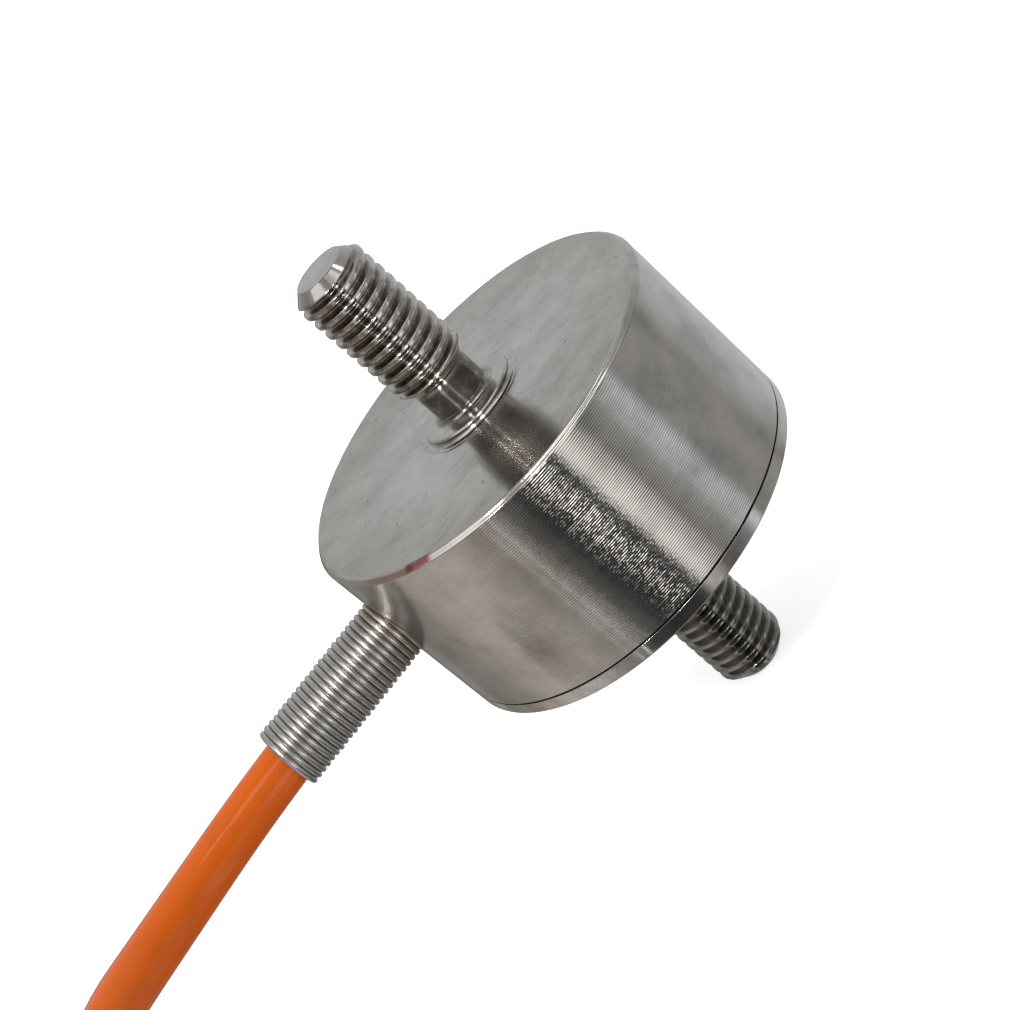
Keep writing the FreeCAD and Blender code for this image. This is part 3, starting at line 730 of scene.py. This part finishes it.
# The coil's layout. Steps between control points and the tail's are in degrees, and the step
# between layers is in turns.
COIL_CENTRE = (-67.0, -12.0)
COIL_SPACING = 3.0
COIL_ENTRY_ANGLE = -50.0
COIL_STEP = 22.5
COIL_RADII = (12.0, 24.0)
COIL_LAYERS = 6
COIL_FLOOR = -12.1
COIL_CONTROLS = 412
LAYER_STEP = 0.3375
TAIL_STEP = 27.5
TAIL_RADIUS = 27.15
FLOOR = -12.4
# Points of the spline from one control point to the next.
ROUTE_STEPS = 24


def coil_turns():
    """Radius, height and winding angle of the coil's control points, as whole arrays.

    The cable enters on the top layer at the outer radius, winds inwards a diameter a turn,
    steps down a layer, winds outwards, and so on down to the floor. In each layer the
    radius is linear in the turns wound, and between layers the height is.
    """
    per_layer = (COIL_RADII[1] - COIL_RADII[0]) / COIL_SPACING
    wound = np.arange(COIL_CONTROLS) * COIL_STEP / 360
    knots, radii, heights = [], [], []
    turn = 0.0
    for layer in range(COIL_LAYERS):
        height = COIL_FLOOR + COIL_SPACING * (COIL_LAYERS - 0.5 - layer)
        ends = COIL_RADII[::-1] if layer % 2 == 0 else COIL_RADII
        for part, radius in enumerate(ends):
            knots.append(turn + part * per_layer)
            radii.append(radius)
            heights.append(height)
        turn += per_layer + LAYER_STEP
    return np.interp(wound, knots, radii), np.interp(wound, knots, heights), wound


def coil_route():
    """The coil's and the tail's control points, in millimetres."""
    radius, height, wound = coil_turns()
    angle = COIL_ENTRY_ANGLE - 360 * wound
    control = radius / math.cos(math.radians(COIL_STEP / 2))
    tail_control = TAIL_RADIUS / math.cos(math.radians(TAIL_STEP / 2))
    angle = np.radians(np.concatenate([angle, angle[-1] - TAIL_STEP * np.array([1.0, 2.0])]))
    control = np.concatenate([control, np.full(2, tail_control)])
    height = np.concatenate([height, np.full(2, FLOOR + COIL_SPACING / 2)])
    return round_points(control, angle, height) + np.array([*COIL_CENTRE, 0.0])


def smooth_line(name, points, resolution):
    """The points of a NURBS spline with these control points, in millimetres."""
    data = bpy.data.curves.new(name, "CURVE")
    data.dimensions = "3D"
    data.resolution_u = resolution
    spline = data.splines.new("NURBS")
    spline.points.add(len(points) - 1)
    weights = np.concatenate([np.array(points) * MM, np.ones((len(points), 1))], axis=1)
    spline.points.foreach_set("co", weights.reshape(-1))
    spline.order_u = 3
    spline.use_endpoint_u = True
    guide = bpy.data.objects.new(name, data)
    bpy.context.scene.collection.objects.link(guide)
    mesh = bpy.data.meshes.new_from_object(guide.evaluated_get(bpy.context.evaluated_depsgraph_get()))
    line = np.empty(len(mesh.vertices) * 3)
    mesh.vertices.foreach_get("co", line)
    bpy.data.meshes.remove(mesh)
    bpy.data.objects.remove(guide)
    bpy.data.curves.remove(data)
    return line.reshape(-1, 3) / MM


class LOADCELL_OT_cable(bpy.types.Operator):
    """Lay the orange cable and its put-away coil"""

    bl_idname = "loadcell.cable"
    bl_label = "Cable"

    def execute(self, context):
        """Carry a round section along the route's spline, finely where it is seen."""
        sizes, colours = context.scene.load_cell_sizes, context.scene.load_cell_colours
        route = np.concatenate([np.array(CABLE_ROUTE), coil_route()])
        line = smooth_line("cable_guide", route, ROUTE_STEPS)
        seen = len(CABLE_ROUTE) * ROUTE_STEPS
        line = np.concatenate([line[:seen:3], line[seen::9], line[-1:]])
        patch, uv = tube_patch(line, sizes.cable / MM / 2, sides=20)
        piece = make_mesh("cable", [patch], [jacket_material(colours)], "cable", uv)
        # The coil lies far closer than a cable would, so the polished case doesn't mirror it.
        piece.visible_glossy = False
        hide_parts("cable_run", "cable_coil", "cable_tail")
        ends = dress_cable_end()
        return {"FINISHED"}


def dress_cable_end():
    """Give the pieces on the cable's far end and the coil's tie their finishes."""
    cores = ["core_red", "core_black", "core_green", "core_white", "core_tips"]
    nodes = ["end_sleeve", *cores, "shield_tail", "coil_tie"]
    for node in nodes:
        dress_node(node)
    return nodes


def dress_node(node):
    """Give a CAD node the finish of its material slot."""
    piece = frame["nodes"][node]
    material = small_material(SLOTS[node])
    for slot in piece.material_slots:
        slot.material = material


# The turned pieces ---------------------------------------------------------------------------------


def upper_stud_limit(radius, height):
    """Hold the thread under the tip's 45 degree bevel and inside the run-out over the neck."""
    bevel = TIP_RADIUS + (STUD_TIP - height)
    runout = NECK_RADIUS + (height - NECK_TOP) * 0.9
    return np.minimum(radius, np.minimum(bevel, runout))


def lower_stud_limit(radius, height):
    """Hold the thread under the tip's bevel, and end it in a small fillet at the cover."""
    bevel = TIP_RADIUS + (height - LOWER_TIP)
    fillet = 2.5 - np.clip(-height / 0.12, 0, 1) ** 0.5 * 0.6
    return np.maximum(np.minimum(radius, bevel), np.where(height > -0.12, fillet, 0))


class LOADCELL_OT_measuring_body(bpy.types.Operator):
    """Turn the measuring body with its collar and upper stud"""

    bl_idname = "loadcell.measuring_body"
    bl_label = "Measuring body"

    def execute(self, context):
        """Join the stud's thread, the turned profile and the bored wall in one closed mesh."""
        sizes, colours = context.scene.load_cell_sizes, context.scene.load_cell_colours
        outer, outer_ring = bored_wall(CASE_RADIUS, CASE_FOOT + 0.1, CASE_TOP - 0.35, OUTLET_RADIUS)
        inner, inner_ring = bored_wall(
            BORE_RADIUS, CASE_FOOT + 0.3, DIAPHRAGM_UNDERSIDE - 0.5, INNER_HOLE_RADIUS
        )
        tunnel = np.stack([outer_ring, outer_ring, inner_ring, inner_ring])
        tunnel[1:3, :, 0] = SPRING_SEAT
        tip = flatten(0.0, TIP_RADIUS - 0.1, 5, STUD_TIP, True) + [(TIP_RADIUS, STUD_TIP)]
        neck = flatten(NECK_TOP, CASE_TOP + 0.9, 6, NECK_RADIUS, False)
        fillet = arc((NECK_RADIUS + 0.42, CASE_TOP + 0.85), 0.42, 180, 270, 9)
        shelf = flatten(2.34, 2.98, 4, CASE_TOP + 0.43, True)
        collar = (
            arc((3.05, CASE_TOP + 0.26), 0.17, 90, 0, 6)
            + [(3.17, CASE_TOP + 0.2)]
            + arc((3.42, CASE_TOP + 0.25), 0.25, 190, 270, 6)
            + [(3.62, CASE_TOP + 0.002), (3.68, CASE_TOP - 0.015), (3.74, CASE_TOP)]
        )
        face = flatten(3.9, CASE_RADIUS - 0.45, 14, CASE_TOP, True)
        rim = [
            (CASE_RADIUS - 0.45, CASE_TOP), (CASE_RADIUS - 0.25, CASE_TOP),
            (CASE_RADIUS, CASE_TOP - 0.25), (CASE_RADIUS, CASE_TOP - 0.35),
        ]
        foot = [
            (CASE_RADIUS, CASE_FOOT + 0.1), (CASE_RADIUS, CASE_FOOT), (BORE_RADIUS + 0.2, CASE_FOOT),
            (BORE_RADIUS, CASE_FOOT + 0.2), (BORE_RADIUS, CASE_FOOT + 0.3),
        ]
        hollow = [
            (BORE_RADIUS, DIAPHRAGM_UNDERSIDE - 0.5), (BORE_RADIUS, DIAPHRAGM_UNDERSIDE - 0.4),
            (BORE_RADIUS - 0.4, DIAPHRAGM_UNDERSIDE), (HUB_RADIUS + 0.4, DIAPHRAGM_UNDERSIDE),
            (HUB_RADIUS, DIAPHRAGM_UNDERSIDE - 0.4), (HUB_RADIUS, HUB_FOOT), (0.0, HUB_FOOT),
        ]
        rim, foot, hollow = rounded(rim, 0.03), rounded(foot, 0.025), rounded(hollow, 0.04)
        # The seam's painted shade, a near-black finish, covers the foot from the end of its outer corner to
        # the next one.
        patches = [
            turned(tip, LAPPED),
            threaded(NECK_TOP, STUD_TIP, sizes, *UPPER_CREST, upper_stud_limit),
            turned(neck + fillet, THREADED),
            turned([fillet[-1]] + shelf + collar[:1], LAPPED),
            turned(collar, THREADED),
            turned([collar[-1]] + face, LAPPED),
            turned(rim, TURNED),
            turned(foot[:6], TURNED),
            turned(foot[5:8], SEAM_SHADE),
            turned(foot[7:], TURNED),
            turned(hollow, TURNED),
            (tunnel.reshape(-1, 3), grid_faces(len(tunnel), len(outer_ring)), TURNED),
        ]
        piece = make_mesh("measuring_body", patches + outer + inner, steel_finishes(sizes, colours))
        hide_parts("elastic_body")
        return {"FINISHED"}


def steel_finishes(sizes, colours):
    """The case's three steel finishes and the seam's painted shade, made once."""
    kinds = [f"{kind} stainless steel" for kind in ("turned", "lapped", "thread cut")]
    made = [bpy.data.materials.get(name) for name in (*kinds, "painted seam shade")]
    if all(made):
        return made
    return [
        turned_steel_material(sizes, colours),
        lapped_steel_material(colours),
        stud_steel_material(colours),
        # Painted shade: the seam's inner faces are near-black.
        plain_finish("painted seam shade", "#0D0C0B", 0.55),
    ]


class LOADCELL_OT_cover(bpy.types.Operator):
    """Turn the closing cover with its lower stud"""

    bl_idname = "loadcell.cover"
    bl_label = "Cover"

    def execute(self, context):
        """Join the cover's profile and its stud's thread in one closed mesh."""
        sizes, colours = context.scene.load_cell_sizes, context.scene.load_cell_colours
        profile = [
            (2.5, 0.0), (CASE_RADIUS - 0.15, 0.0), (CASE_RADIUS, 0.15), (CASE_RADIUS, COVER_TOP),
            (SEAT_RADIUS, COVER_TOP), (SEAT_RADIUS, CASE_FOOT), (SPIGOT_RADIUS, CASE_FOOT),
            (SPIGOT_RADIUS, SPIGOT_TOP), (SPIGOT_RADIUS - 1.8, SPIGOT_TOP),
            (SPIGOT_RADIUS - 1.8, CASE_FOOT), (0.0, CASE_FOOT),
        ]
        profile = rounded(profile, 0.03)
        tip = [(TIP_RADIUS, LOWER_TIP)] + flatten(TIP_RADIUS - 0.1, 0.0, 5, LOWER_TIP, True)
        # Points of the profile, six to a corner, at which the underside, the edge and the seam end.
        flat, edge, seam = 4, 17, 29
        patches = [
            turned(profile[: flat + 1], LAPPED),
            turned(profile[flat : edge + 1], THREADED),
            turned(profile[edge : seam + 1], SEAM_SHADE),
            turned(profile[seam:], TURNED),
            threaded(LOWER_TIP, 0.0, sizes, *LOWER_CREST, lower_stud_limit),
            turned(tip, THREADED),
        ]
        piece = make_mesh("closing_cover", patches, steel_finishes(sizes, colours))
        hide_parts("base_cover")
        return {"FINISHED"}


class LOADCELL_OT_relief_spring(bpy.types.Operator):
    """Wind the relief spring round the cable's start"""

    bl_idname = "loadcell.relief_spring"
    bl_label = "Relief spring"

    def execute(self, context):
        """Carry a round wire along x = start - pitch t, y = r cos, z = r sin, closing at both ends."""
        sizes, colours = context.scene.load_cell_sizes, context.scene.load_cell_colours
        wire = sizes.wire / MM
        radius = SPRING_RADIUS - wire / 2
        turns = sizes.wire_turns
        steps = turns * WIRE_STEPS + 1
        wound = np.linspace(0, turns, steps)
        reach = SPRING_SEAT - SPRING_END - wire
        turn = 2 * np.pi * wound
        # No coil lies quite true: each sits a hundredth of a millimetre in or out.
        sway = 0.012 * np.sin(1.7 * wound + 0.6) + 0.008 * np.sin(4.1 * wound)
        outward = np.stack([0 * turn, np.cos(turn), np.sin(turn)], axis=-1)
        centre = (radius + sway)[:, None] * outward + np.array([0.0, 0.0, OUTLET_HEIGHT])
        centre[:, 0] = SPRING_SEAT - wire / 2 - reach * wound / turns
        sides = 12
        section = (2 * np.pi * np.arange(sides) / sides)[None, :, None]
        # Each end of the wire is eased and closed to its middle.
        size = np.concatenate([[0, 0.75], np.ones(steps), [0.75, 0]])[:, None, None]
        spread = np.concatenate([[0, 0], np.arange(steps), [steps - 1, steps - 1]])
        ring = np.cos(section) * outward[spread][:, None] + np.sin(section) * np.array([1.0, 0.0, 0.0])
        rings = centre[spread][:, None] + wire / 2 * size * ring
        faces = grid_faces(len(rings), sides)
        lengths = (spread * (2 * math.pi * radius / WIRE_STEPS))[faces // sides]
        uv = np.stack([lengths, (faces % sides) / sides * math.pi * wire], axis=-1)
        patch = (rings.reshape(-1, 3), faces, 0)
        piece = make_mesh("wound_spring", [patch], [spring_wire_material(colours)], "wire", uv)
        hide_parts("relief_spring")
        return {"FINISHED"}


INNER_NODES = [
    *(f"strain_gauge_{index}" for index in (1, 2, 3, 4)),
    *(f"gauge_wires_{index}" for index in (1, 2, 3, 4)),
    "bridge_board", "balance_resistor", "span_resistor", "temperature_resistor", "solder_joints",
    "lead_red", "lead_black", "lead_green", "lead_white", "cable_washer", "crimp_ring",
]


class LOADCELL_OT_inner_pieces(bpy.types.Operator):
    """Give the pieces sealed in the case their finishes"""

    bl_idname = "loadcell.inner_pieces"
    bl_label = "Inner pieces"

    def execute(self, context):
        """Keep the solids as they are, and change only their materials."""
        for node in INNER_NODES:
            dress_node(node)
        return {"FINISHED"}


# The stage -------------------------------------------------------------------------------------------

# What polished metal sees round the cell, as (azimuth in degrees, brightness, warmth) of the light
# tent's panels: those below the horizon, with a dark card in front and bright gaps beside it, and
# those above, with two narrow bars.
LOWER_PANELS = [
    (0, 0.30, 0.2), (12, 0.54, 0.0), (24, 0.64, -0.4), (48, 0.68, -0.9),
    (66, 0.61, -1.0), (84, 0.45, 0.0), (101, 0.16, 1.0), (114, 0.38, 1.0),
    (126, 0.27, 1.2), (150, 0.40, 1.3), (165, 0.60, 1.2), (188, 0.73, 1.0),
    (203, 0.55, 0.7), (214, 0.32, 0.5), (222, 0.36, 0.4), (228, 0.13, 0.1),
    (233, 0.09, 0.0), (240, 0.065, 0.0), (249, 0.05, 0.0), (265, 0.05, 0.0),
    (270, 0.08, 0.0), (276, 0.68, 0.1), (281, 0.64, 0.2), (289, 0.19, 1.0),
    (296, 0.18, 0.5), (303, 0.24, 0.0), (310, 0.32, -0.6), (318, 0.98, -0.9),
    (324, 0.32, -0.5), (334, 0.38, 0.2), (349, 0.42, 0.2),
]
UPPER_PANELS = [
    (0, 0.45, 0.0), (30, 0.60, -0.3), (58, 0.62, -0.6), (84, 0.60, -0.6),
    (104, 0.55, -0.3), (122, 0.42, 0.3), (150, 0.30, 0.8), (172, 0.20, 1.0),
    (205, 0.18, 1.0), (221, 0.22, 0.8), (225, 1.00, 0.2), (229, 0.26, 0.5),
    (245, 0.32, 0.5), (255, 0.38, 0.3), (259, 1.00, 0.0), (263, 0.36, 0.0),
    (285, 0.32, 0.0), (300, 0.20, 0.0), (330, 0.20, 0.0),
]
# Bright cards and slits in the tent: azimuth, elevation, half width and half height in degrees, and
# brightness.
TENT_CARDS = [
    (222.0, -24.0, 0.2, 26.0, 0.70),
    (227.0, -24.0, 0.2, 26.0, 1.40),
    (232.0, -9.0, 10.0, 9.0, 0.10),
    (250.5, 0.0, 1.4, 6.0, 1.6),
    (260.2, -2.0, 5.2, 7.0, 3.4),
    (281.0, -9.0, 8.0, 9.0, 0.9),
    (300.0, -9.0, 8.0, 9.0, 0.3),
    (192.0, 52.0, 30.0, 12.0, 0.8),
    (285.0, 62.0, 34.0, 9.0, 0.8),
    (315.0, 60.0, 42.0, 1.0, 3.0),
]
# Over and under the panels, from elevation to elevation in degrees: where the panels start to give
# way, where they are gone, and the colour in their place.
TENT_CAPS = [
    (28.0, 46.0, (0.50, 0.49, 0.48, 1.0)),
    (66.0, 80.0, (0.20, 0.19, 0.18, 1.0)),
    (-42.0, -70.0, (0.16, 0.15, 0.14, 1.0)),
]
PLAIN_LIGHT = (0.57, 0.57, 0.57, 1.0)
WHITE = (1.0, 1.0, 1.0, 1.0)


def panel_ramp(add, share, panels):
    """Colour of a ring of panels from a share of the full turn: warmth takes green and blue away."""
    tinted = [
        (azimuth / 360, (level, level * (1 - 0.04 * warmth), level * (1 - 0.08 * warmth), 1.0))
        for azimuth, level, warmth in panels
    ]
    return ramp(add, share, tinted)


def light_tent(world):
    """A white room for the eye, a plain light for matt surfaces, and the tent's panels for metal."""
    world.use_nodes = True
    world.node_tree.nodes.clear()
    add = partial(add_node, world.node_tree)
    way = add("SeparateXYZ", {0: add("TexCoord", output="Generated")}).node.outputs
    angle = add("Math", {0: way["Y"], 1: way["X"]}, operation="ARCTAN2")
    turn = add("Math", {0: angle, 1: 2 * math.pi}, operation="DIVIDE")
    share = add("Math", {0: add("Math", {0: turn, 1: 1.0}, operation="ADD")}, operation="FRACT")
    azimuth = times(add, share, 360.0)
    rise = add("Math", {0: way["Z"]}, operation="ARCSINE")
    elevation = add("Math", {0: rise}, operation="DEGREES")
    upper = panel_ramp(add, share, UPPER_PANELS)
    layers = [(step_up(add, elevation, -6.0, 8.0), upper)]
    layers += [(step_up(add, elevation, start, full), colour) for start, full, colour in TENT_CAPS]
    cards = 0.0
    for card_azimuth, card_elevation, width, height, level in TENT_CARDS:
        wide = window(add, azimuth, card_azimuth, width, 0.4 + 0.2 * width)
        high = window(add, elevation, card_elevation, height, 2.0 + 0.2 * height)
        cards = add("Math", {0: cards, 1: times(add, wide, high, level)}, operation="ADD")
    tent = layered(add, panel_ramp(add, share, LOWER_PANELS), layers + [(1.0, cards, "ADD")])
    ray = add("LightPath").node.outputs
    shown = add("Math", {0: ray["Is Camera Ray"], 1: ray["Is Transmission Ray"]}, operation="MAXIMUM")
    colour = layered(add, PLAIN_LIGHT, [(ray["Is Glossy Ray"], tent), (shown, WHITE)])
    add("OutputWorld", {"Surface": add("Background", {"Color": colour, "Strength": 1.0})})


def floor_material():
    """White paper: it shows white with the cell's soft shadow, and lets mirror rays pass to the tent."""
    material, add = new_material("white paper floor")
    ray = add("LightPath").node.outputs
    paper = add("BsdfDiffuse", {"Color": (0.85, 0.85, 0.85, 1.0)})
    lift = add("Emission", {"Color": (0.68, 0.68, 0.68, 1.0), "Strength": ray["Is Camera Ray"]})
    lit = add("AddShader", {0: paper, 1: lift})
    under = add("NewGeometry", output="Backfacing")
    hidden = add("Math", {0: ray["Is Glossy Ray"], 1: under}, operation="MAXIMUM")
    mixed = add("MixShader", {"Fac": hidden, 1: lit, 2: add("BsdfTransparent")})
    add("OutputMaterial", {"Surface": mixed})
    return material


# Lamps: name, azimuth, elevation, distance and size in metres, power in watts, and whether polished
# metal shows it. In the wide lamp's place it shows the tent.
LAMPS = [
    ("left lamp", 226.0, 48.0, 0.8, 0.08, 1.4, True),
    ("front lamp", 257.0, 52.0, 0.8, 0.07, 1.1, True),
    ("overhead lamp", 80.0, 72.0, 0.9, 0.45, 3.5, False),
]


def add_lamp(name, azimuth, elevation, distance, size, power, mirrored):
    """A square soft lamp, turned towards the cell."""
    data = bpy.data.lights.new(name, "AREA")
    data.shape = "SQUARE"
    data.size = size
    data.energy = power
    lamp = bpy.data.objects.new(name, data)
    bpy.context.scene.collection.objects.link(lamp)
    way = sky_direction(azimuth, elevation)
    lamp.location = way * distance
    lamp.rotation_euler = (-way).to_track_quat("-Z", "Y").to_euler()
    lamp.visible_glossy = mirrored


class LOADCELL_OT_stage(bpy.types.Operator):
    """Set the floor, the tent and the lamps"""

    bl_idname = "loadcell.stage"
    bl_label = "Stage"

    def execute(self, context):
        """A wide white floor under the stud's end, two small lamps in front and a wide one overhead."""
        half = 3.0
        # The floor lies a hair below the stud, so that the two never share a plane.
        level = FLOOR * MM - 0.00002
        mesh = bpy.data.meshes.new("floor")
        corners = [(-half, -half, level), (half, -half, level), (half, half, level), (-half, half, level)]
        mesh.from_pydata(corners, [], [(0, 1, 2, 3)])
        mesh.materials.append(floor_material())
        floor = bpy.data.objects.new("floor", mesh)
        context.scene.collection.objects.link(floor)
        for lamp in LAMPS:
            add_lamp(*lamp)
        world = bpy.data.worlds.new("light tent")
        context.scene.world = world
        light_tent(world)
        context.scene.view_settings.view_transform = "Standard"
        return {"FINISHED"}


class LOADCELL_PT_panel(bpy.types.Panel):
    """The load cell's pieces, sizes and colours"""

    bl_idname = "LOADCELL_PT_panel"
    bl_label = "Load cell"
    bl_space_type = "VIEW_3D"
    bl_region_type = "UI"
    bl_category = "Load cell"

    def draw(self, context):
        """List the sizes, the colours and the operators."""
        layout = self.layout
        for group in (context.scene.load_cell_sizes, context.scene.load_cell_colours):
            box = layout.box()
            for name in group.__annotations__:
                box.prop(group, name)
        for operator in OPERATORS:
            layout.operator(operator.bl_idname)


GROUPS = (LoadCellSizes, LoadCellColours)
OPERATORS = (
    LOADCELL_OT_camera,
    LOADCELL_OT_cable,
    LOADCELL_OT_measuring_body,
    LOADCELL_OT_cover,
    LOADCELL_OT_relief_spring,
    LOADCELL_OT_inner_pieces,
    LOADCELL_OT_stage,
)


def register():
    """Add the classes and their settings."""
    for item in GROUPS + OPERATORS + (LOADCELL_PT_panel,):
        bpy.utils.register_class(item)
    bpy.types.Scene.load_cell_sizes = PointerProperty(type=LoadCellSizes)
    bpy.types.Scene.load_cell_colours = PointerProperty(type=LoadCellColours)


def unregister():
    """Remove the classes and their settings."""
    del bpy.types.Scene.load_cell_colours
    del bpy.types.Scene.load_cell_sizes
    for item in reversed(GROUPS + OPERATORS + (LOADCELL_PT_panel,)):
        bpy.utils.unregister_class(item)


def main():
    """Build every piece in order."""
    register()
    bpy.ops.loadcell.camera()
    bpy.ops.loadcell.cable()
    bpy.ops.loadcell.measuring_body()
    bpy.ops.loadcell.cover()
    bpy.ops.loadcell.relief_spring()
    bpy.ops.loadcell.inner_pieces()
    bpy.ops.loadcell.stage()


if __name__ == "__main__":
    main()
